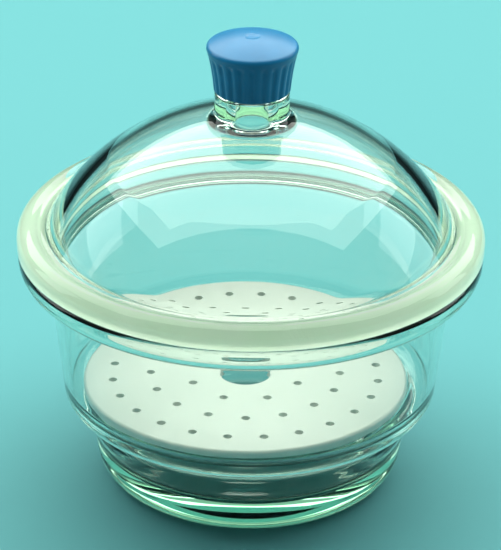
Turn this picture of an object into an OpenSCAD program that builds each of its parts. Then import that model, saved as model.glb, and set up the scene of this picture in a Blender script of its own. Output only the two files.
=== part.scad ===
// Glass desiccator with a flat ground flange, a domed lid with a screw knob
// and a perforated porcelain plate. Millimetres, +Z up, origin at the centre
// of the circle that the foot ring rests on.
//
// Five separate pieces: a pressed glass base vessel, a glass dome lid with a
// hollow GL 32 screw neck, a loose porcelain plate, a moulded screw knob and
// the sealing disc inside the knob.

/* [Base vessel] */
// Outer diameter of the base flange
base_flange_d = 269; // [266:0.5:270]
// Height of the ground joint face above the foot
joint_z = 146.5; // [144:0.5:152]
// Thickness of the base flange at its edge
base_flange_h = 15.5; // [14:0.5:17]
// Outer diameter of the body just above the shoulder
body_low_d = 219.6; // [218:0.2:221]
// Outer diameter of the body just under the flange
body_high_d = 233.8; // [232:0.2:235]
// Inner diameter of the vessel's mouth
mouth_d = 224; // [222:0.5:225]
// Height of the ledge that carries the plate
ledge_z = 57; // [56:0.5:60]
// Outer diameter of the well at its top
well_top_d = 188; // [186:0.5:190]
// Outer diameter of the foot
foot_d = 181; // [179:0.5:183]
// Height of the well's floor at its edge
floor_z = 20.5; // [18:0.5:22]

/* [Lid] */
// Outer diameter of the lid flange
lid_flange_d = 270; // [268:0.5:272]
// Thickness of the lid flange
lid_flange_h = 13.4; // [13:0.2:15]
// Outer radius of the dome's sphere
dome_r = 137; // [136:0.5:138]
// Height of the centre of the dome's sphere
dome_centre_z = 89.5; // [88:0.5:91]
// Wall thickness of the dome
dome_wall = 4.6; // [4:0.1:5]
// Outer diameter of the collar under the knob
collar_d = 42.6; // [42:0.1:43]
// Bore through the neck
neck_bore_d = 19.2; // [18:0.1:20]

/* [Porcelain plate] */
// Diameter of the plate
plate_d = 190; // [188:0.5:191]
// Thickness of the plate
plate_h = 6; // [5:0.5:7]
// Diameter of the central hole
centre_hole_d = 30; // [28:1:32]
// Diameter of each small hole
small_hole_d = 5; // [4:0.2:6]
// Distance that the loose plate lies off the vessel's axis, along -X
plate_offset = 2.5; // [0:0.5:3]

/* [Knob] */
// Largest diameter of the knob
knob_d = 52; // [51:0.5:53]
// Diameter of the knob's lower edge
knob_low_d = 43.4; // [43:0.2:44]
// Overall height of the knob
knob_h = 32.5; // [32:0.5:33]
// Number of grip flutes
flutes = 24; // [20:2:28]

/* [Screw thread] */
// Pitch of the GL 32 thread
thread_pitch = 4; // [4:0.5:5]
// Crest diameter of the glass thread
thread_crest_d = 31.6; // [31:0.1:32]
// Root diameter of the glass thread
thread_root_d = 28; // [27.8:0.1:28.4]
// Number of turns of the glass thread
glass_turns = 1.75; // [1.5:0.25:2]
// Number of turns of the knob's thread
knob_turns = 1.5; // [1.25:0.25:1.75]

/* [Hidden] */
$fn = 96;
over = 1;                   // how far a cutting shape reaches past the surface that it cuts

glass = [0.72, 0.92, 0.84, 0.45];
porcelain = [0.94, 0.96, 0.92];
blue_plastic = [0.12, 0.42, 0.78];
seal_white = [0.93, 0.92, 0.88];

// Base vessel
foot_round = 17.7;          // rounding between the foot ring and the well
foot_ring_r = 69;           // radius of the centre of the ring's inner rounding
foot_ring_round = 3;
underside_rise = 7;         // height of the pushed-up underside at the axis
underside_drop = 2.6;       // how much lower it is next to the foot ring
underside_r = 60;           // outer radius of the pushed-up part
shoulder_round = 12.7;
shoulder_z = 60;            // height where the shoulder meets the body wall
shoulder_r = body_low_d / 2 - shoulder_round;
well_fillet = 10;           // hollow corner under the shoulder
base_flange_fillet = 6.4;   // hollow corner under the flange
base_flange_round = 10.4;   // rounding of the flange's lower edge
base_rim_round = 3.6;       // rounding of the flange's upper edge
ledge_fillet = 8.8;         // hollow corner between ledge and body wall
ledge_lip = 5.5;            // rounding of the ledge's inner edge
ledge_flat_r = 96.2;        // outer radius of the flat ledge
well_top_r = 89.8;          // inner radius of the well under the ledge
well_low_r = 85.2;          // inner radius of the well above the floor
floor_fillet = 9.5;
floor_rise = 0.5;           // how much higher the floor is at the axis
mouth_round = 3.4;

// Lid
bead_round = 7.5;           // rounding of the flange's thick outer edge
lid_fillet = 4.4;           // hollow corner between flange and dome
lid_low_round = 1;          // bevel of the ground face's outer edge
lid_mouth_r = 110.5;
lid_mouth_round = 19;       // inner blend from the dome into the mouth
lid_mouth_bevel = 2.6;      // bevel of the ground face's inner edge
dome_ring_r = 80;           // radius of the inner ring below which the wall thickens
wall_shift = 12.4;          // rise of the lower inner sphere's centre
collar_fillet = 8;          // hollow corner between collar and dome
collar_top_z = 241.2;
collar_round = 1.2;
neck_lip_z = 266;
neck_lip_round = 1;
bore_flare = 6;             // rounding of the bore's lower mouth
dome_inner_r = dome_r - dome_wall;

// Plate
plate_edge_round = 2;
hole_rings = [[33, 8, 22.5], [55.5, 16, 0], [78, 24, 7.5]];  // radius, holes, first angle
plate_turn = 0.5;           // how far the loose plate is turned

// Knob
knob_z = 242;
knob_top_z = knob_z + knob_h;
knob_crown_r = 67.3;        // sphere of the crowned top
knob_edge_round = 2.5;
knob_widest_h = 25.5;       // height of the widest line above the lower edge
knob_low_bevel = 0.6;
knob_edge_angle = -10;      // where the edge's rounding passes into the sloping side
seal_h = 3;
seal_d = 31.6;
sleeve_bore_d = 32.6;
sleeve_d = 36.8;
shell_wall = 2;
recess_top_z = 265.5;
web_count = 8;
web_w = 1.6;
web_start = 4;              // height of the webs' lower ends above the lower edge
flute_r = 1.6;
flute_depth = 0.8;
flute_top_z = 263;
dimple_r = 4;
dimple_depth = 0.5;

// Thread
thread_base_w = 2.6;        // width of the glass ridge at its root
thread_crest_w = 1.0;
knob_thread_bore_r = 14.6;  // crest radius of the knob's thread
knob_thread_base_w = 2.0;
knob_thread_crest_w = 0.8;
thread_start_z = 252.5;     // height where the glass ridge starts
thread_embed = 0.5;         // depth that a ridge is sunk into its wall
thread_steps = 36;          // steps in one turn
thread_fade = 30;           // degrees over which a ridge runs out
ridge_low_h = 0.3;          // height of a ridge above its wall where it has run out
knob_thread_z = thread_start_z - thread_pitch / 2;  // knob's ridge, midway under the glass one

// Points on an arc from angle a0 to a1, in degrees
function arc(cx, cz, r, a0, a1, n = 8) =
    [for (i = [0:n]) let (a = a0 + (a1 - a0) * i / n) [cx + r * cos(a), cz + r * sin(a)]];

// A list of points without repeats
function tidy(p) = [for (i = [0:len(p) - 1]) if (i == 0 || norm(p[i] - p[i - 1]) > 0.01) p[i]];

// Height of the point at radius x on a sphere about the axis
function cap_z(centre_z, r, x) = centre_z + sqrt(r * r - x * x);

// The upper one of the two points that lie ra from a and rb from b
function meet(a, ra, b, rb) =
    let (d = norm(b - a))
    let (u = (b - a) / d)
    let (along = (ra * ra - rb * rb + d * d) / (2 * d))
    a + along * u + sqrt(ra * ra - along * along) * [-u.y, u.x];

// One ring of a thread ridge: its angle, its height, and how far it is run out
function ridge_ring(a, z, root_r, crest_r, root_w, crest_w) = [
    [root_r * cos(a), root_r * sin(a), z - root_w / 2],
    [crest_r * cos(a), crest_r * sin(a), z - crest_w / 2],
    [crest_r * cos(a), crest_r * sin(a), z + crest_w / 2],
    [root_r * cos(a), root_r * sin(a), z + root_w / 2]];

// Right-hand helical ridge, running out at both ends
module ridge(root_r, crest_r, root_w, crest_w, turns, start_z, start_angle, flip) {
    steps = round(turns * thread_steps);
    span = turns * 360;
    hidden_r = root_r + ridge_low_h * sign(crest_r - root_r);
    points = [for (i = [0:steps])
        let (a = span * i / steps)
        let (out = min(1, a / thread_fade, (span - a) / thread_fade))
        let (r = hidden_r + (crest_r - hidden_r) * sin(90 * out))
        each ridge_ring(a + start_angle, start_z + thread_pitch * a / 360, root_r, r, root_w, crest_w)];
    sides = [for (i = [0:steps - 1]) for (k = [0:3])
        let (p = 4 * i + k)
        let (q = 4 * i + (k + 1) % 4)
        each [[p, p + 4, q + 4], [p, q + 4, q]]];
    last = 4 * steps;
    ends = [[0, 1, 2], [0, 2, 3], [last, last + 2, last + 1], [last, last + 3, last + 2]];
    faces = concat(sides, ends);
    polyhedron(points, flip ? [for (f = faces) [f[0], f[2], f[1]]] : faces);
}

// Section of the base vessel, from the underside's centre round to the floor's
module base_section() {
    underside = [for (i = [0:6])
        [underside_r * i / 6, underside_rise - underside_drop * pow(i / 6, 2)]];
    foot = concat(
        arc(foot_ring_r, foot_ring_round, foot_ring_round, 180, 270, 4),
        arc(foot_d / 2 - foot_round, foot_round, foot_round, -90, 0, 14));
    hollow_r = well_top_d / 2 + well_fillet;
    hollow_z = shoulder_z - sqrt(pow(shoulder_round + well_fillet, 2) - pow(hollow_r - shoulder_r, 2));
    hollow_angle = atan2(hollow_z - shoulder_z, hollow_r - shoulder_r);
    under_shoulder = concat(
        arc(hollow_r, hollow_z, well_fillet, 180, 180 + hollow_angle, 6),
        arc(shoulder_r, shoulder_z, shoulder_round, hollow_angle, 0, 10));
    flange_low_z = joint_z - base_flange_h;
    under_flange = concat(
        arc(body_high_d / 2 + base_flange_fillet, flange_low_z - base_flange_fillet,
            base_flange_fillet, 180, 90, 6),
        arc(base_flange_d / 2 - base_flange_round, flange_low_z + base_flange_round,
            base_flange_round, -90, 0, 12));
    rim = arc(base_flange_d / 2 - base_rim_round, joint_z - base_rim_round, base_rim_round, 0, 90, 5);
    mouth = arc(mouth_d / 2 + mouth_round, joint_z - mouth_round, mouth_round, 90, 180, 4);
    ledge = concat(
        arc(ledge_flat_r, ledge_z + ledge_fillet, ledge_fillet, 0, -90, 8),
        arc(well_top_r + ledge_lip, ledge_z - ledge_lip, ledge_lip, 90, 180, 6));
    floor_corner = arc(well_low_r - floor_fillet, floor_z + floor_fillet, floor_fillet, 0, -90, 8);
    floor_r = well_low_r - floor_fillet;
    floor_rise_points = [for (i = [6:-1:0])
        let (r = floor_r * i / 6) [r, floor_z + floor_rise * (1 - pow(i / 6, 2))]];
    polygon(tidy(concat(underside, foot, under_shoulder, under_flange, rim, mouth, ledge,
        floor_corner, floor_rise_points)));
}

module base_vessel() {
    color(glass)
    rotate_extrude() base_section();
}

// Section of the lid, from the ground face's outer edge up, over and back down inside
module lid_section() {
    edge_r = lid_flange_d / 2;
    bead = [edge_r - bead_round, joint_z + lid_flange_h - bead_round];
    valley = meet([0, dome_centre_z], dome_r + lid_fillet, bead, bead_round + lid_fillet);
    bead_angle = atan2(valley.y - bead.y, valley.x - bead.x);
    foot_angle = atan2(valley.y - dome_centre_z, valley.x);
    edge = arc(bead.x, bead.y, bead_round, 0, bead_angle, 14);
    flange_fillet = arc(valley.x, valley.y, lid_fillet, bead_angle - 180, foot_angle - 180, 6);
    collar_reach = dome_r + collar_fillet;
    collar_fillet_r = collar_d / 2 + collar_fillet;
    collar_fillet_z = cap_z(dome_centre_z, collar_reach, collar_fillet_r);
    collar_angle = atan2(collar_fillet_z - dome_centre_z, collar_fillet_r);
    dome_out = arc(0, dome_centre_z, dome_r, foot_angle, collar_angle, 24);
    neck_base = arc(collar_fillet_r, collar_fillet_z, collar_fillet, collar_angle - 180, -180, 8);
    collar = arc(collar_d / 2 - collar_round, collar_top_z - collar_round, collar_round, 0, 90, 4);
    neck_root_r = thread_root_d / 2;
    lip = concat(
        arc(neck_root_r - neck_lip_round, neck_lip_z - neck_lip_round, neck_lip_round, 0, 90, 4),
        arc(neck_bore_d / 2 + neck_lip_round, neck_lip_z - neck_lip_round, neck_lip_round, 90, 180, 4));
    flare_r = neck_bore_d / 2 + bore_flare;
    flare_reach = dome_inner_r + bore_flare;
    flare_z = cap_z(dome_centre_z, flare_reach, flare_r);
    flare_angle = atan2(flare_z - dome_centre_z, flare_r);
    bore_mouth = arc(flare_r, flare_z, bore_flare, 180, 180 + flare_angle, 6);
    ring_z = cap_z(dome_centre_z, dome_inner_r, dome_ring_r);
    low_centre_z = dome_centre_z + wall_shift;
    low_inner_r = norm([dome_ring_r, ring_z - low_centre_z]);
    mouth_blend_r = lid_mouth_r - lid_mouth_round;
    mouth_blend_z = cap_z(low_centre_z, low_inner_r - lid_mouth_round, mouth_blend_r);
    mouth_angle = atan2(mouth_blend_z - low_centre_z, mouth_blend_r);
    dome_in = concat(
        arc(0, dome_centre_z, dome_inner_r, flare_angle, atan2(ring_z - dome_centre_z, dome_ring_r), 14),
        arc(0, low_centre_z, low_inner_r, atan2(ring_z - low_centre_z, dome_ring_r), mouth_angle, 12));
    mouth = arc(mouth_blend_r, mouth_blend_z, lid_mouth_round, mouth_angle, 0, 8);
    ground_face = [[lid_mouth_r, joint_z + lid_mouth_bevel], [lid_mouth_r + lid_mouth_bevel, joint_z],
        [edge_r - lid_low_round, joint_z], [edge_r, joint_z + lid_low_round]];
    polygon(tidy(concat(edge, flange_fillet, dome_out, neck_base, collar,
        [[neck_root_r, collar_top_z]], lip, bore_mouth, dome_in, mouth, ground_face)));
}

module lid() {
    color(glass) {
        rotate_extrude() lid_section();
        ridge(thread_root_d / 2 - thread_embed, thread_crest_d / 2, thread_base_w, thread_crest_w,
            glass_turns, thread_start_z, 0, true);
    }
}

module porcelain_plate() {
    color(porcelain)
    translate([-plate_offset, 0, ledge_z])
    rotate([0, 0, plate_turn])
    difference() {
        rotate_extrude()
        polygon(tidy(concat(
            [[0, 0]],
            arc(plate_d / 2 - plate_edge_round, plate_edge_round, plate_edge_round, -90, 0, 5),
            arc(plate_d / 2 - plate_edge_round, plate_h - plate_edge_round, plate_edge_round, 0, 90, 5),
            [[0, plate_h]])));
        translate([0, 0, -over])
        cylinder(d = centre_hole_d, h = plate_h + 2 * over);
        for (ring = hole_rings)
            for (i = [0:ring[1] - 1])
                rotate([0, 0, ring[2] + 360 * i / ring[1] - 90])
                translate([ring[0], 0, -over])
                cylinder(d = small_hole_d, h = plate_h + 2 * over);
    }
}

module knob_seal() {
    color(seal_white)
    translate([0, 0, neck_lip_z])
    cylinder(d = seal_d, h = seal_h);
}

// Outline of the knob without its hollows
module knob_section() {
    crown_centre_z = knob_top_z - knob_crown_r;
    edge_r = knob_d / 2 - knob_edge_round;
    edge_z = cap_z(crown_centre_z, knob_crown_r - knob_edge_round, edge_r);
    edge_angle = atan2(edge_z - crown_centre_z, edge_r);
    crown = arc(0, crown_centre_z, knob_crown_r, 90, edge_angle, 8);
    edge = arc(edge_r, edge_z, knob_edge_round, edge_angle, knob_edge_angle, 6);
    low_r = knob_low_d / 2;
    low_edge = [[low_r, knob_z + knob_low_bevel], [low_r - knob_low_bevel, knob_z], [0, knob_z]];
    polygon(tidy(concat(crown, edge, low_edge)));
}

// Ring-shaped hollow between the threaded sleeve and the outer shell
module knob_recess() {
    low_r = knob_low_d / 2 - shell_wall;
    slope = (knob_d - knob_low_d) / 2 / knob_widest_h;
    difference() {
        rotate_extrude()
        polygon([[sleeve_d / 2, knob_z - over], [low_r, knob_z - over], [low_r, knob_z],
            [low_r + slope * (recess_top_z - knob_z), recess_top_z], [sleeve_d / 2, recess_top_z]]);
        for (i = [0:web_count - 1])
            rotate([0, 0, 360 * i / web_count])
            translate([0, -web_w / 2, knob_z + web_start])
            cube([knob_d / 2, web_w, knob_h]);
    }
}

// One grip flute, parallel to the knob's side, with a round upper end
module flute() {
    low_r = knob_low_d / 2;
    lean = atan2((knob_d - knob_low_d) / 2, knob_widest_h);
    length = (flute_top_z - knob_z) / cos(lean);
    translate([low_r + flute_r - flute_depth, 0, knob_z])
    rotate([0, lean, 0])
    translate([0, 0, -over])
    cylinder(r = flute_r, h = length + over);
}

module knob() {
    color(blue_plastic) {
        difference() {
            rotate_extrude() knob_section();
            translate([0, 0, knob_z - over])
            cylinder(d = sleeve_bore_d, h = neck_lip_z + seal_h - knob_z + over);
            knob_recess();
            for (i = [0:flutes - 1])
                rotate([0, 0, 360 * i / flutes]) flute();
            translate([0, 0, knob_top_z - dimple_depth])
            cylinder(r = dimple_r, h = dimple_depth + over);
        }
        ridge(sleeve_bore_d / 2 + thread_embed, knob_thread_bore_r, knob_thread_base_w,
            knob_thread_crest_w, knob_turns, knob_thread_z, 0, false);
    }
}

base_vessel();
lid();
porcelain_plate();
knob_seal();
knob();
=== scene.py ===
# Glass desiccator: looks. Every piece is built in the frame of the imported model, in metres.
import math

import bpy
import numpy as np
from mathutils import Matrix, Vector


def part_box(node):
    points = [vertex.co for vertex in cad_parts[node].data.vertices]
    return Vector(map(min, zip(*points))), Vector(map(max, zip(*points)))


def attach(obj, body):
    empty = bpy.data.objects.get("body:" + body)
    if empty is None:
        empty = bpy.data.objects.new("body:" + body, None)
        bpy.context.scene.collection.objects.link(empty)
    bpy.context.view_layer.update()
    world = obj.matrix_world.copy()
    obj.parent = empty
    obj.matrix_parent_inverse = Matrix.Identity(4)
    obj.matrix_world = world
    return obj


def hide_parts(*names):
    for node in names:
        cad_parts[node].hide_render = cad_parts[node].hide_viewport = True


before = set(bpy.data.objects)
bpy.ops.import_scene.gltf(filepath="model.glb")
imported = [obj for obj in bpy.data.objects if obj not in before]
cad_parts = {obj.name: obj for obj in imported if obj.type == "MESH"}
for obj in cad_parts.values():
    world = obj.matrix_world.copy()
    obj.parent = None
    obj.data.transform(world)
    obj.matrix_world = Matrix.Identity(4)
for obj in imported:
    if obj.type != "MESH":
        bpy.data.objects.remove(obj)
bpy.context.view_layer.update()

MM = 0.001


# ---------------------------------------------------------------- sizes from the frame, in mm

def low_high(node):
    """Corners of a CAD node in millimetres."""
    low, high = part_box(node)
    return low / MM, high / MM


_, base_high = low_high("base_vessel")
_, lid_high = low_high("lid")
plate_low, plate_high = low_high("porcelain_plate")
knob_low, knob_high = low_high("knob")
seal_low, seal_high = low_high("knob_seal")

JOINT_Z = base_high.z                  # ground joint face
JOINT_GAP = 0.05                       # each ground face is drawn back by this much
BASE_R = base_high.x
LID_R = lid_high.x
LIP_Z = lid_high.z                     # top of the glass neck
LEDGE_Z = plate_low.z
PLATE_R = (plate_high.x - plate_low.x) / 2
PLATE_X = (plate_high.x + plate_low.x) / 2
KNOB_R = knob_high.x
KNOB_Z = knob_low.z
KNOB_TOP = knob_high.z

# Sizes that repeat the CAD source
DOME_R = 137.0
DOME_CENTRE_Z = 89.5
DOME_WALL = 4.6
COLLAR_R = 21.3
COLLAR_TOP_Z = 241.2
NECK_ROOT_R = 14.0
NECK_CREST_R = 15.8
NECK_BORE_R = 9.6
THREAD_PITCH = 4.0
THREAD_START_Z = 252.5
THREAD_STEP = 0.3                      # height between the rings of a threaded wall


# ---------------------------------------------------------------- outline helpers

def arc(cx, cz, r, a0, a1, step=3.0, tag=""):
    """Points on an arc from angle a0 to a1, in degrees, about step degrees apart."""
    n = max(2, math.ceil(abs(a1 - a0) / step))
    angles = [math.radians(a0 + (a1 - a0) * i / n) for i in range(n + 1)]
    return [(cx + r * math.cos(a), cz + r * math.sin(a), tag) for a in angles]


def dense(points, longest=2.0, closed=False):
    """The same outline without repeats and with long edges cut up."""
    pts = [p for i, p in enumerate(points) if i == 0 or math.dist(p[:2], points[i - 1][:2]) > 0.004]
    if closed:
        pts.append(pts[0])
    out = []
    for a, b in zip(pts[:-1], pts[1:]):
        n = max(1, math.ceil(math.dist(a[:2], b[:2]) / longest))
        tag = a[2] if a[2] == b[2] else ""
        out.append(a)
        for k in range(1, n):
            t = k / n
            out.append((a[0] + (b[0] - a[0]) * t, a[1] + (b[1] - a[1]) * t, tag))
    if not closed:
        out.append(pts[-1])
    return out


def cap_z(centre_z, r, x):
    """Height at radius x of a sphere about the axis."""
    return centre_z + math.sqrt(r * r - x * x)


def angle_of(x, z):
    """Direction from the origin to (x, z), in degrees."""
    return math.degrees(math.atan2(z, x))


def ridge_height(angle, z, start_z, turns, base_w, crest_w, fade=30.0):
    """How far a helical ridge stands out, from 0 to 1, at an angle in degrees and a height."""
    best = np.zeros(np.broadcast(angle, z).shape)
    span = turns * 360
    for k in range(math.ceil(turns) + 1):
        along = angle + 360 * k
        run_out = np.clip(np.minimum(along, span - along) / fade, 0, 1)
        off = np.abs(z - start_z - THREAD_PITCH * along / 360)
        side = np.clip((base_w / 2 - off) / ((base_w - crest_w) / 2), 0, 1)
        best = np.maximum(best, np.sin(run_out * np.pi / 2) * side * side * (3 - 2 * side))
    return best


# ---------------------------------------------------------------- meshes

def new_object(name, verts, faces, slots=None):
    mesh = bpy.data.meshes.new(name)
    mesh.from_pydata(verts, [], faces)
    mesh.polygons.foreach_set("use_smooth", [True] * len(mesh.polygons))
    if slots is not None:
        mesh.polygons.foreach_set("material_index", slots)
    mesh.validate()
    mesh.update()
    obj = bpy.data.objects.new(name, mesh)
    bpy.context.scene.collection.objects.link(obj)
    return obj


def revolve(name, points, around=192, offsets=None, slot_tags=(), centre_x=0.0):
    """Turns an outline of (r, z, tag) in mm about +Z into a closed mesh.

    The outline starts and ends on the axis, or closes on itself.
    offsets maps a tag to a function of (angle in degrees, z, r) that gives extra radius.
    """
    angles = np.arange(around) * 360.0 / around
    turn = np.radians(angles)
    on_axis = points[0][0] < 1e-6
    verts, rings = [], []
    for r, z, tag in points:
        if r < 1e-6:
            rings.append([len(verts)])
            verts.append((centre_x * MM, 0.0, z * MM))
            continue
        extra = offsets[tag](angles, z, r) if offsets and tag in offsets else 0.0
        radius = (r + extra) * np.ones(around)
        rings.append(list(range(len(verts), len(verts) + around)))
        verts.extend(zip((centre_x + radius * np.cos(turn)) * MM, radius * np.sin(turn) * MM,
                         np.full(around, z * MM)))
    pairs = list(zip(range(len(points) - 1), range(1, len(points))))
    if not on_axis:
        pairs.append((len(points) - 1, 0))
    faces, slots = [], []
    for i, j in pairs:
        a, b = rings[i], rings[j]
        slot = 0
        if points[i][2] == points[j][2] and points[i][2] in slot_tags:
            slot = 1 + slot_tags.index(points[i][2])
        for k in range(around):
            m = (k + 1) % around
            if len(a) == 1:
                faces.append((a[0], b[m], b[k]))
            elif len(b) == 1:
                faces.append((a[k], a[m], b[0]))
            else:
                faces.append((a[k], a[m], b[m], b[k]))
            slots.append(slot)
    return new_object(name, [tuple(map(float, v)) for v in verts], faces, slots)


def finish_piece(obj, body, nodes, materials):
    for m in materials:
        obj.data.materials.append(m)
    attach(obj, body)
    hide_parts(*nodes)
    return obj


# ---------------------------------------------------------------- materials

GLASS_IOR = 1.474                      # borosilicate


def new_material(name):
    mat = bpy.data.materials.new(name)
    mat.use_nodes = True
    nodes, links = mat.node_tree.nodes, mat.node_tree.links
    return mat, nodes, links, nodes["Principled BSDF"]


def noise(nodes, links, scale, detail=4.0, rough=0.5, stretch=(1, 1, 1)):
    """Noise in object space. scale is in features per metre."""
    coord = nodes.new("ShaderNodeTexCoord")
    mapping = nodes.new("ShaderNodeMapping")
    mapping.inputs["Scale"].default_value = stretch
    tex = nodes.new("ShaderNodeTexNoise")
    tex.inputs["Scale"].default_value = scale
    tex.inputs["Detail"].default_value = detail
    tex.inputs["Roughness"].default_value = rough
    links.new(coord.outputs["Object"], mapping.inputs["Vector"])
    links.new(mapping.outputs["Vector"], tex.inputs["Vector"])
    return tex.outputs["Fac"]


def ramp(nodes, links, fac, stops):
    node = nodes.new("ShaderNodeValToRGB")
    while len(node.color_ramp.elements) < len(stops):
        node.color_ramp.elements.new(0.5)
    for element, (pos, colour) in zip(node.color_ramp.elements, stops):
        element.position = pos
        element.color = (*colour, 1) if len(colour) == 3 else colour
    links.new(fac, node.inputs["Fac"])
    return node.outputs["Color"]


def remap(nodes, links, value, low, high):
    node = nodes.new("ShaderNodeMapRange")
    node.inputs["To Min"].default_value = low
    node.inputs["To Max"].default_value = high
    links.new(value, node.inputs["Value"])
    return node.outputs["Result"]


def bump(nodes, links, shader, heights):
    """Chains bumps of (height socket, strength, distance in metres) into the shader's normal."""
    before = None
    for height, strength, distance in heights:
        node = nodes.new("ShaderNodeBump")
        node.inputs["Strength"].default_value = strength
        node.inputs["Distance"].default_value = distance
        links.new(height, node.inputs["Height"])
        if before is not None:
            links.new(before, node.inputs["Normal"])
        before = node.outputs["Normal"]
    links.new(before, shader.inputs["Normal"])


def glass_material():
    mat, nodes, links, shader = new_material("borosilicate_glass")
    tint = ramp(nodes, links, noise(nodes, links, 9.0, 2.0),
                [(0.3, (0.955, 0.985, 0.97)), (0.7, (0.975, 0.995, 0.985))])
    links.new(tint, shader.inputs["Base Color"])
    shader.inputs["Transmission Weight"].default_value = 1.0
    shader.inputs["IOR"].default_value = GLASS_IOR
    shader.inputs["Roughness"].default_value = 0.0
    waves = noise(nodes, links, 22.0, 2.0, 0.4, (1, 1, 0.6))
    bump(nodes, links, shader, [(waves, 0.12, 0.0006)])
    absorb = nodes.new("ShaderNodeVolumeAbsorption")
    absorb.inputs["Color"].default_value = (0.45, 0.86, 0.62, 1)
    absorb.inputs["Density"].default_value = 9.0
    links.new(absorb.outputs["Volume"], nodes["Material Output"].inputs["Volume"])
    return mat


def ground_material():
    mat, nodes, links, shader = new_material("ground_glass")
    grain = noise(nodes, links, 900.0, 3.0, 0.6)
    patches = noise(nodes, links, 30.0, 3.0, 0.6)
    tint = ramp(nodes, links, patches, [(0.3, (0.86, 0.99, 0.81)), (0.7, (0.92, 1.0, 0.87))])
    links.new(tint, shader.inputs["Base Color"])
    links.new(remap(nodes, links, patches, 0.55, 0.8), shader.inputs["Roughness"])
    shader.inputs["Transmission Weight"].default_value = 0.1
    shader.inputs["IOR"].default_value = GLASS_IOR
    bump(nodes, links, shader, [(grain, 0.35, 0.0002)])
    return mat


def porcelain_material():
    mat, nodes, links, shader = new_material("glazed_porcelain")
    clouds = noise(nodes, links, 14.0, 4.0, 0.55)
    specks = noise(nodes, links, 420.0, 2.0, 0.5)
    body = ramp(nodes, links, clouds, [(0.3, (0.90, 0.92, 0.86)), (0.7, (0.94, 0.955, 0.90))])
    spots = ramp(nodes, links, specks, [(0.22, (0.80, 0.79, 0.72)), (0.30, (1, 1, 1))])
    mix = nodes.new("ShaderNodeMix")
    mix.data_type = "RGBA"
    mix.blend_type = "MULTIPLY"
    mix.inputs["Factor"].default_value = 0.5
    links.new(body, mix.inputs["A"])
    links.new(spots, mix.inputs["B"])
    links.new(mix.outputs["Result"], shader.inputs["Base Color"])
    links.new(remap(nodes, links, clouds, 0.28, 0.42), shader.inputs["Roughness"])
    shader.inputs["Coat Weight"].default_value = 0.35
    shader.inputs["Coat Roughness"].default_value = 0.18
    bump(nodes, links, shader, [(noise(nodes, links, 60.0, 3.0), 0.10, 0.0005),
                                (noise(nodes, links, 700.0, 2.0), 0.06, 0.0001)])
    return mat


def plastic_material():
    mat, nodes, links, shader = new_material("blue_plastic")
    clouds = noise(nodes, links, 60.0, 3.0, 0.55)
    body = ramp(nodes, links, clouds, [(0.3, (0.002, 0.16, 0.37)), (0.7, (0.003, 0.19, 0.43))])
    # Painted highlight: convex edges and flute crests are blended up to a quarter of the way towards a
    # lighter blue, standing in for light catching them
    geometry = nodes.new("ShaderNodeNewGeometry")
    edge_highlight = ramp(nodes, links, geometry.outputs["Pointiness"],
                [(0.50, (0, 0, 0)), (0.58, (1, 1, 1))])
    mix = nodes.new("ShaderNodeMix")
    mix.data_type = "RGBA"
    links.new(remap(nodes, links, edge_highlight, 0.0, 0.25), mix.inputs["Factor"])
    links.new(body, mix.inputs["A"])
    mix.inputs["B"].default_value = (0.01, 0.26, 0.56, 1)
    links.new(mix.outputs["Result"], shader.inputs["Base Color"])
    links.new(remap(nodes, links, noise(nodes, links, 180.0, 4.0), 0.26, 0.40),
              shader.inputs["Roughness"])
    bump(nodes, links, shader, [(noise(nodes, links, 1500.0, 3.0), 0.12, 0.00008)])
    return mat


def silicone_material():
    mat, nodes, links, shader = new_material("seal_rubber")
    clouds = noise(nodes, links, 90.0, 3.0)
    links.new(ramp(nodes, links, clouds, [(0.3, (0.80, 0.77, 0.70)), (0.7, (0.88, 0.86, 0.80))]),
              shader.inputs["Base Color"])
    links.new(remap(nodes, links, clouds, 0.45, 0.6), shader.inputs["Roughness"])
    bump(nodes, links, shader, [(noise(nodes, links, 900.0, 3.0), 0.2, 0.0001)])
    return mat


# ---------------------------------------------------------------- base vessel

GLASS_AROUND = 240                     # steps round a glass piece
SHOULDER_Z = 60.0
SHOULDER_ROUND = 12.7
SHOULDER_R = 109.8 - SHOULDER_ROUND    # centre of the shoulder's rounding
WELL_R = 94.0                          # outer radius of the well
WELL_FILLET = 10.0                     # hollow corner under the shoulder
WELL_TOP_R = 89.8                      # inner radius of the well under the ledge
WELL_LOW_R = 85.2                      # inner radius of the well above the floor
FLOOR_Z = 20.5
FLOOR_FILLET = 9.5
FLOOR_RISE = 0.5                       # how much higher the floor is at the axis
UNDERSIDE_R = 60.0                     # outer radius of the pushed-up underside
UNDERSIDE_RISE = 7.0                   # its height at the axis
UNDERSIDE_DROP = 2.6                   # how much lower it is at its outer radius
FOOT_R = 90.5
FOOT_ROUND = 17.7
FOOT_RING_R = 69.0                     # centre of the ring's inner rounding
FOOT_RING_ROUND = 3.0
BODY_HIGH_R = 116.9                    # outer radius of the body under the flange
FLANGE_H = 15.5
FLANGE_FILLET = 6.4                    # hollow corner under the flange
FLANGE_ROUND = 10.4                    # rounding of the flange's lower edge
RIM_ROUND = 3.6                        # rounding of the flange's upper edge
MOUTH_R = 112.0
MOUTH_LIP = 3.4                        # rounding between the ground face and the mouth
LEDGE_R = 96.2                         # outer radius of the flat ledge
LEDGE_FILLET = 8.8
LEDGE_LIP = 5.5                        # rounding of the ledge's inner edge


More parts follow.
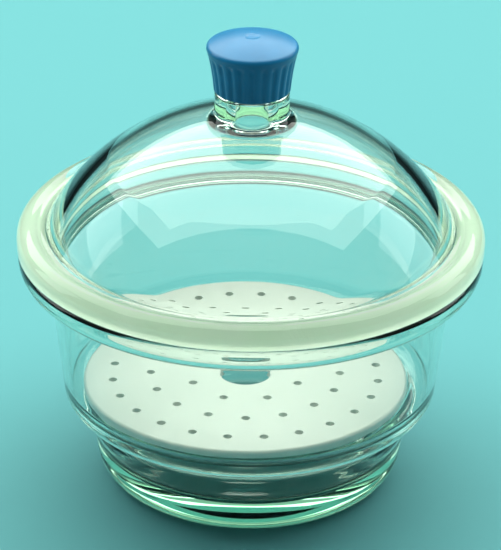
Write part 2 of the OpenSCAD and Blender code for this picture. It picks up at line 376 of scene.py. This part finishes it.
def base_outline():
    flange_low = JOINT_Z - FLANGE_H
    face_z = JOINT_Z - JOINT_GAP
    underside = [(r, UNDERSIDE_RISE - UNDERSIDE_DROP * (r / UNDERSIDE_R) ** 2, "")
                 for r in np.linspace(0, UNDERSIDE_R, 31)]
    foot = (arc(FOOT_RING_R, FOOT_RING_ROUND, FOOT_RING_ROUND, 180, 270, 6)
            + arc(FOOT_R - FOOT_ROUND, FOOT_ROUND, FOOT_ROUND, -90, 0))
    hollow_r = WELL_R + WELL_FILLET
    hollow_z = SHOULDER_Z - math.sqrt((SHOULDER_ROUND + WELL_FILLET) ** 2 - (hollow_r - SHOULDER_R) ** 2)
    hollow_a = angle_of(hollow_r - SHOULDER_R, hollow_z - SHOULDER_Z)
    shoulder = (arc(hollow_r, hollow_z, WELL_FILLET, 180, 180 + hollow_a, 4)
                + arc(SHOULDER_R, SHOULDER_Z, SHOULDER_ROUND, hollow_a, 0))
    flange = (arc(BODY_HIGH_R + FLANGE_FILLET, flange_low - FLANGE_FILLET, FLANGE_FILLET, 180, 90, 5)
              + arc(BASE_R - FLANGE_ROUND, flange_low + FLANGE_ROUND, FLANGE_ROUND, -90, 0)
              + arc(BASE_R - RIM_ROUND, face_z - RIM_ROUND, RIM_ROUND, 0, 90, 6))
    lip_r = MOUTH_R + MOUTH_LIP
    face = [(BASE_R - RIM_ROUND, face_z, "ground"), (lip_r, face_z, "ground")]
    mouth = arc(lip_r, face_z - MOUTH_LIP, MOUTH_LIP, 90, 180, 6)
    ledge = (arc(LEDGE_R, LEDGE_Z + LEDGE_FILLET, LEDGE_FILLET, 0, -90)
             + arc(WELL_TOP_R + LEDGE_LIP, LEDGE_Z - LEDGE_LIP, LEDGE_LIP, 90, 180))
    floor_r = WELL_LOW_R - FLOOR_FILLET
    corner = arc(floor_r, FLOOR_Z + FLOOR_FILLET, FLOOR_FILLET, 0, -90)
    floor = [(r, FLOOR_Z + FLOOR_RISE * (1 - (r / floor_r) ** 2), "")
             for r in np.linspace(floor_r, 0, 38)]
    return dense(underside + foot + shoulder + flange + face + mouth + ledge + corner + floor)


def build_base(glass, ground):
    obj = revolve("base_glass", base_outline(), GLASS_AROUND, slot_tags=("ground",))
    return finish_piece(obj, "base", ["base_vessel"], [glass, ground])


# ---------------------------------------------------------------- lid

LID_FLANGE_H = 13.4
BEAD_ROUND = 7.5                       # rounding of the flange's thick outer edge
VALLEY_ROUND = 4.4                     # hollow corner between flange and dome
RING_R = 80.0                          # the wall thickens below this inner ring
WALL_SHIFT = 12.4                      # rise of the lower inner sphere's centre
LID_MOUTH_R = 110.5
MOUTH_ROUND = 19.0
MOUTH_BEVEL = 2.6                      # bevel of the ground face's inner edge
LOW_BEVEL = 1.0                        # bevel of the ground face's outer edge
COLLAR_FILLET = 8.0                    # hollow corner between collar and dome
COLLAR_ROUND = 1.2
LIP_ROUND = 1.0                        # roundings of the neck's upper end
BORE_FLARE = 6.0                       # rounding of the bore's lower mouth
NECK_THREAD_TURNS = 1.75
NECK_THREAD_BASE = 2.6                 # width of the glass ridge at its root
NECK_THREAD_CREST = 1.0


def meet(a, ra, b, rb):
    """The upper one of the two points that lie ra from a and rb from b."""
    a, b = Vector(a), Vector(b)
    d = (b - a).length
    u = (b - a) / d
    along = (ra * ra - rb * rb + d * d) / (2 * d)
    return a + along * u + math.sqrt(ra * ra - along * along) * Vector((-u.y, u.x))


def lid_outline():
    inner_r = DOME_R - DOME_WALL
    bead = (LID_R - BEAD_ROUND, JOINT_Z + LID_FLANGE_H - BEAD_ROUND)
    valley = meet((0, DOME_CENTRE_Z), DOME_R + VALLEY_ROUND, bead, BEAD_ROUND + VALLEY_ROUND)
    bead_a = angle_of(valley.x - bead[0], valley.y - bead[1])
    foot_a = angle_of(valley.x, valley.y - DOME_CENTRE_Z)
    edge = arc(bead[0], bead[1], BEAD_ROUND, 0, bead_a)
    fillet = arc(valley.x, valley.y, VALLEY_ROUND, bead_a - 180, foot_a - 180, 5)
    neck_r = COLLAR_R + COLLAR_FILLET
    neck_z = cap_z(DOME_CENTRE_Z, DOME_R + COLLAR_FILLET, neck_r)
    neck_a = angle_of(neck_r, neck_z - DOME_CENTRE_Z)
    dome = arc(0, DOME_CENTRE_Z, DOME_R, foot_a, neck_a, 0.5)
    neck_base = arc(neck_r, neck_z, COLLAR_FILLET, neck_a - 180, -180, 4)
    collar = arc(COLLAR_R - COLLAR_ROUND, COLLAR_TOP_Z - COLLAR_ROUND, COLLAR_ROUND, 0, 90, 15)
    lip_z = LIP_Z - LIP_ROUND
    neck = [(NECK_ROOT_R, z, "neck") for z in np.arange(COLLAR_TOP_Z + 0.1, lip_z, THREAD_STEP)]
    lip = (arc(NECK_ROOT_R - LIP_ROUND, lip_z, LIP_ROUND, 0, 90, 15)
           + arc(NECK_BORE_R + LIP_ROUND, lip_z, LIP_ROUND, 90, 180, 15))
    flare_r = NECK_BORE_R + BORE_FLARE
    flare_z = cap_z(DOME_CENTRE_Z, inner_r + BORE_FLARE, flare_r)
    flare_a = angle_of(flare_r, flare_z - DOME_CENTRE_Z)
    bore_mouth = arc(flare_r, flare_z, BORE_FLARE, 180, 180 + flare_a, 5)
    ring_z = cap_z(DOME_CENTRE_Z, inner_r, RING_R)
    low_centre_z = DOME_CENTRE_Z + WALL_SHIFT
    low_r = math.hypot(RING_R, ring_z - low_centre_z)
    blend_r = LID_MOUTH_R - MOUTH_ROUND
    blend_z = cap_z(low_centre_z, low_r - MOUTH_ROUND, blend_r)
    blend_a = angle_of(blend_r, blend_z - low_centre_z)
    inside = (arc(0, DOME_CENTRE_Z, inner_r, flare_a, angle_of(RING_R, ring_z - DOME_CENTRE_Z), 0.5)
              + arc(0, low_centre_z, low_r, angle_of(RING_R, ring_z - low_centre_z), blend_a, 0.5))
    mouth = arc(blend_r, blend_z, MOUTH_ROUND, blend_a, 0, 3)
    low = JOINT_Z + JOINT_GAP
    face = [(LID_MOUTH_R, low + MOUTH_BEVEL, ""), (LID_MOUTH_R + MOUTH_BEVEL, low, "ground"),
            (LID_R - LOW_BEVEL, low, "ground"), (LID_R, low + LOW_BEVEL, "")]
    return dense(edge + fillet + dome + neck_base + collar + neck + lip + bore_mouth + inside
                 + mouth + face, closed=True)


def build_lid(glass, ground):
    def thread(angle, z, r):
        return (NECK_CREST_R - NECK_ROOT_R) * ridge_height(
            angle, z, THREAD_START_Z, NECK_THREAD_TURNS, NECK_THREAD_BASE, NECK_THREAD_CREST)

    obj = revolve("lid_glass", lid_outline(), GLASS_AROUND, {"neck": thread}, ("ground",))
    return finish_piece(obj, "lid", ["lid"], [glass, ground])


# ---------------------------------------------------------------- porcelain plate

HOLE_RINGS = ((33.0, 8, 22.5), (55.5, 16, 0.0), (78.0, 24, 7.5))   # radius, holes, first angle
HOLE_R = 2.5
CENTRE_HOLE_R = 15.0
PLATE_TURN = 0.5                       # how far the loose plate is turned, in degrees
PLATE_EDGE_ROUND = 2.0
HOLE_RIM_ROUND = 0.5
CUT_OVER = 2.0                         # how far a hole cutter reaches past the plate


def hole_places():
    """Centre, radius and number of sides of every hole."""
    for ring_r, count, first in HOLE_RINGS:
        for i in range(count):
            a = math.radians(first + 360 * i / count - 90 + PLATE_TURN)
            yield PLATE_X + ring_r * math.cos(a), ring_r * math.sin(a), HOLE_R, 24
    yield PLATE_X, 0.0, CENTRE_HOLE_R, 96


def plate_blank(low, high):
    """Disc with rounded edges and one flat face on each side."""
    around = 240
    round_r = PLATE_R - PLATE_EDGE_ROUND
    section = dense(arc(round_r, low + PLATE_EDGE_ROUND, PLATE_EDGE_ROUND, -90, 0, 15)
                    + arc(round_r, high - PLATE_EDGE_ROUND, PLATE_EDGE_ROUND, 0, 90, 15), 3.0)
    verts, faces = [], []
    for r, z, _ in section:
        for k in range(around):
            a = 2 * math.pi * k / around
            verts.append(((PLATE_X + r * math.cos(a)) * MM, r * math.sin(a) * MM, z * MM))
    for i in range(len(section) - 1):
        for k in range(around):
            m = (k + 1) % around
            a, b = i * around, (i + 1) * around
            faces.append((a + k, a + m, b + m, b + k))
    faces.append(tuple(range(around - 1, -1, -1)))
    last = (len(section) - 1) * around
    faces.append(tuple(range(last, last + around)))
    return new_object("plate_glazed", verts, faces)


def hole_cutters(low, high):
    verts, faces = [], []
    for x, y, r, sides in hole_places():
        first = len(verts)
        for z in (low - CUT_OVER, high + CUT_OVER):
            for k in range(sides):
                a = 2 * math.pi * k / sides
                verts.append(((x + r * math.cos(a)) * MM, (y + r * math.sin(a)) * MM, z * MM))
        for k in range(sides):
            m = (k + 1) % sides
            faces.append((first + k, first + m, first + sides + m, first + sides + k))
        faces.append(tuple(first + k for k in range(sides - 1, -1, -1)))
        faces.append(tuple(first + sides + k for k in range(sides)))
    return new_object("plate_cutters", verts, faces)


def apply_modifiers(obj):
    graph = bpy.context.evaluated_depsgraph_get()
    mesh = bpy.data.meshes.new_from_object(obj.evaluated_get(graph))
    old = obj.data
    obj.modifiers.clear()
    obj.data = mesh
    bpy.data.meshes.remove(old)


def build_plate(porcelain):
    plate = plate_blank(plate_low.z, plate_high.z)
    cutters = hole_cutters(plate_low.z, plate_high.z)
    cut = plate.modifiers.new("holes", "BOOLEAN")
    cut.operation = "DIFFERENCE"
    cut.solver = "EXACT"
    cut.object = cutters
    apply_modifiers(plate)
    bpy.data.objects.remove(cutters)
    bevel = plate.modifiers.new("soft_rims", "BEVEL")
    bevel.width = HOLE_RIM_ROUND * MM
    bevel.segments = 3
    bevel.limit_method = "ANGLE"
    bevel.angle_limit = math.radians(50)
    normals = plate.modifiers.new("even_shading", "WEIGHTED_NORMAL")
    normals.weight = 100
    apply_modifiers(plate)
    return finish_piece(plate, "plate", ["porcelain_plate"], [porcelain])


# ---------------------------------------------------------------- knob and seal

FLUTES = 24
FLUTE_DEPTH = 0.75
FLUTE_TOP = 0.90                       # where the flutes end, as a share of the side's height
FLUTE_SIDE_H = 25.0                    # the side's height that this share is taken of
KNOB_LOW_R = 21.7
KNOB_CROWN_R = 67.3                    # sphere of the crowned top
KNOB_EDGE_ROUND = 2.5
DIMPLE_R = 3.9
DIMPLE_FLAT_R = 3.4
DIMPLE_DEPTH = 0.5
RECESS_TOP_Z = 265.5                   # ring-shaped hollow round the threaded sleeve
SLEEVE_R = 18.4
SLEEVE_BORE_R = 16.3
KNOB_THREAD_TURNS = 1.5
KNOB_THREAD_DEPTH = 1.7
KNOB_THREAD_BASE = 2.0                 # width of the knob's ridge at its root
KNOB_THREAD_CREST = 0.8


def knob_side_r(t):
    """Radius of the knob's side at t, from 0 at the bottom to 1 at the widest line."""
    return KNOB_LOW_R + (KNOB_R - KNOB_LOW_R) * (0.62 * t + 0.38 * t ** 3)


def knob_outline():
    crown_z = KNOB_TOP - KNOB_CROWN_R
    edge_r = KNOB_R - KNOB_EDGE_ROUND
    edge_z = cap_z(crown_z, KNOB_CROWN_R - KNOB_EDGE_ROUND, edge_r)
    edge_a = angle_of(edge_r, edge_z - crown_z)
    dimple = [(0, KNOB_TOP - DIMPLE_DEPTH, ""), (DIMPLE_FLAT_R, KNOB_TOP - DIMPLE_DEPTH, "")]
    crown = [p for p in arc(0, crown_z, KNOB_CROWN_R, 90, edge_a, 0.5) if p[0] > DIMPLE_R]
    edge = arc(edge_r, edge_z, KNOB_EDGE_ROUND, edge_a, -8, 8)
    side_h = edge[-1][1] - KNOB_Z
    side = [(knob_side_r(t), KNOB_Z + t * side_h, "flute") for t in np.linspace(0.985, 0.03, 60)]
    rim = [(21.4, KNOB_Z + 0.25, ""), (21.0, KNOB_Z, ""), (20.2, KNOB_Z, ""), (19.8, KNOB_Z + 0.3, "")]
    recess = [(22.9, RECESS_TOP_Z - 1, ""), (22.3, RECESS_TOP_Z, ""),
              (SLEEVE_R + 0.6, RECESS_TOP_Z, ""), (SLEEVE_R, RECESS_TOP_Z - 0.6, "")]
    sleeve = [(SLEEVE_R, KNOB_Z + 0.5, ""), (SLEEVE_R - 0.4, KNOB_Z + 0.1, ""),
              (SLEEVE_BORE_R + 0.5, KNOB_Z + 0.1, "")]
    bore = [(SLEEVE_BORE_R, z, "bore") for z in np.arange(KNOB_Z + 0.7, seal_high.z - 0.2, THREAD_STEP)]
    ceiling = [(SLEEVE_BORE_R, seal_high.z, ""), (0, seal_high.z, "")]
    return dense(dimple + crown + edge + side + rim + recess + sleeve + bore + ceiling)


def build_knob(plastic):
    def flute(angle, z, r):
        groove = (0.5 + 0.5 * np.cos(np.radians(angle * FLUTES))) ** 1.4
        t = (z - KNOB_Z) / FLUTE_SIDE_H
        fade = np.clip((FLUTE_TOP - t) / 0.12, 0, 1) ** 0.7
        return -FLUTE_DEPTH * groove * fade

    def thread(angle, z, r):
        return -KNOB_THREAD_DEPTH * ridge_height(
            angle, z, THREAD_START_Z - THREAD_PITCH / 2, KNOB_THREAD_TURNS, KNOB_THREAD_BASE,
            KNOB_THREAD_CREST)

    obj = revolve("knob_moulding", knob_outline(), 384, {"flute": flute, "bore": thread})
    return finish_piece(obj, "knob", ["knob"], [plastic])


SEAL_GAP = 0.02                        # each face of the seal is drawn back by this much
SEAL_ROUND = 0.5


def build_seal(silicone):
    r = seal_high.x
    low, high = seal_low.z + SEAL_GAP, seal_high.z - SEAL_GAP
    outline = ([(0, low, "")] + arc(r - SEAL_ROUND, low + SEAL_ROUND, SEAL_ROUND, -90, 0, 15)
               + arc(r - SEAL_ROUND, high - SEAL_ROUND, SEAL_ROUND, 0, 90, 15) + [(0, high, "")])
    obj = revolve("seal_disc", dense(outline), 96)
    return finish_piece(obj, "seal", ["knob_seal"], [silicone])


# ---------------------------------------------------------------- studio

VIEW_ELEVATION = 27.09
VIEW_DISTANCE = 1.70
VIEW_ROLL = 0.52
VIEW_HEIGHT = 0.1245                    # height of the aimed point above the floor
SENSOR = 36                             # mm
FOCAL_OVER_LONG_SIDE = 5.312727
FLOOR_HALF = 6.0                        # half the floor's side, in metres


def add_camera():
    data = bpy.data.cameras.new("camera")
    data.sensor_width = SENSOR
    data.lens = SENSOR * FOCAL_OVER_LONG_SIDE
    cam = bpy.data.objects.new("camera", data)
    bpy.context.scene.collection.objects.link(cam)
    e = math.radians(VIEW_ELEVATION)
    forward = Vector((0, math.cos(e), -math.sin(e)))
    roll = math.radians(VIEW_ROLL)
    right = Vector((1, 0, 0))
    up = right.cross(forward)
    x_axis = math.cos(roll) * right + math.sin(roll) * up
    y_axis = math.cos(roll) * up - math.sin(roll) * right
    rotation = Matrix((x_axis, y_axis, -forward)).transposed()
    cam.matrix_world = (Matrix.Translation(Vector((0, 0, VIEW_HEIGHT)) - forward * VIEW_DISTANCE)
                        @ rotation.to_4x4())
    bpy.context.scene.camera = cam


def area_light(name, place, target, size, power, colour):
    data = bpy.data.lights.new(name, "AREA")
    data.shape = "RECTANGLE"
    data.size, data.size_y = size
    data.energy = power
    data.color = colour
    obj = bpy.data.objects.new(name, data)
    bpy.context.scene.collection.objects.link(obj)
    obj.location = place
    obj.rotation_euler = (Vector(target) - Vector(place)).to_track_quat("-Z", "Y").to_euler()


def add_floor():
    side = FLOOR_HALF
    mesh = bpy.data.meshes.new("floor")
    mesh.from_pydata([(-side, -side, 0), (side, -side, 0), (side, side, 0), (-side, side, 0)],
                     [], [(0, 1, 2, 3)])
    floor = bpy.data.objects.new("floor", mesh)
    bpy.context.scene.collection.objects.link(floor)
    mat, nodes, links, shader = new_material("floor_paper")
    shader.inputs["Base Color"].default_value = (0.10, 0.36, 0.39, 1)
    shader.inputs["Roughness"].default_value = 0.85
    mesh.materials.append(mat)


def add_world():
    """Soft surroundings, brightest above and behind."""
    world = bpy.data.worlds.new("studio")
    bpy.context.scene.world = world
    world.use_nodes = True
    nodes, links = world.node_tree.nodes, world.node_tree.links
    coord = nodes.new("ShaderNodeTexCoord")
    split = nodes.new("ShaderNodeSeparateXYZ")
    links.new(coord.outputs["Generated"], split.inputs["Vector"])
    height = ramp(nodes, links, split.outputs["Z"],
                  [(0.0, (0.03, 0.07, 0.07)), (0.10, (0.10, 0.20, 0.19)), (0.45, (0.62, 0.80, 0.74)),
                   (1.0, (0.95, 1.0, 0.91))])
    depth = ramp(nodes, links, remap(nodes, links, split.outputs["Y"], 0.5, 1.0),
                 [(0.0, (0.05, 0.05, 0.06)), (0.55, (0.25, 0.26, 0.26)), (1.0, (1, 1, 1))])
    both = nodes.new("ShaderNodeMix")
    both.data_type = "RGBA"
    both.blend_type = "MULTIPLY"
    both.inputs["Factor"].default_value = 1.0
    links.new(height, both.inputs["A"])
    links.new(depth, both.inputs["B"])
    links.new(both.outputs["Result"], nodes["Background"].inputs["Color"])
    nodes["Background"].inputs["Strength"].default_value = 1.0


def add_lights():
    area_light("top_box", (0.0, 0.65, 1.6), (0, 0, 0.1), (3.6, 2.6), 92, (0.97, 1.0, 0.91))
    area_light("left_box", (-1.7, 0.5, 0.8), (0, 0, 0.15), (0.8, 1.0), 5, (0.97, 1.0, 1.0))
    area_light("right_box", (1.7, 0.5, 0.8), (0, 0, 0.15), (0.8, 1.0), 5, (0.97, 1.0, 1.0))


# ---------------------------------------------------------------- build

glass = glass_material()
ground = ground_material()
build_base(glass, ground)
build_lid(glass, ground)
build_plate(porcelain_material())
build_knob(plastic_material())
build_seal(silicone_material())
add_camera()
add_floor()
add_world()
add_lights()
bpy.context.scene.view_settings.view_transform = "Standard"
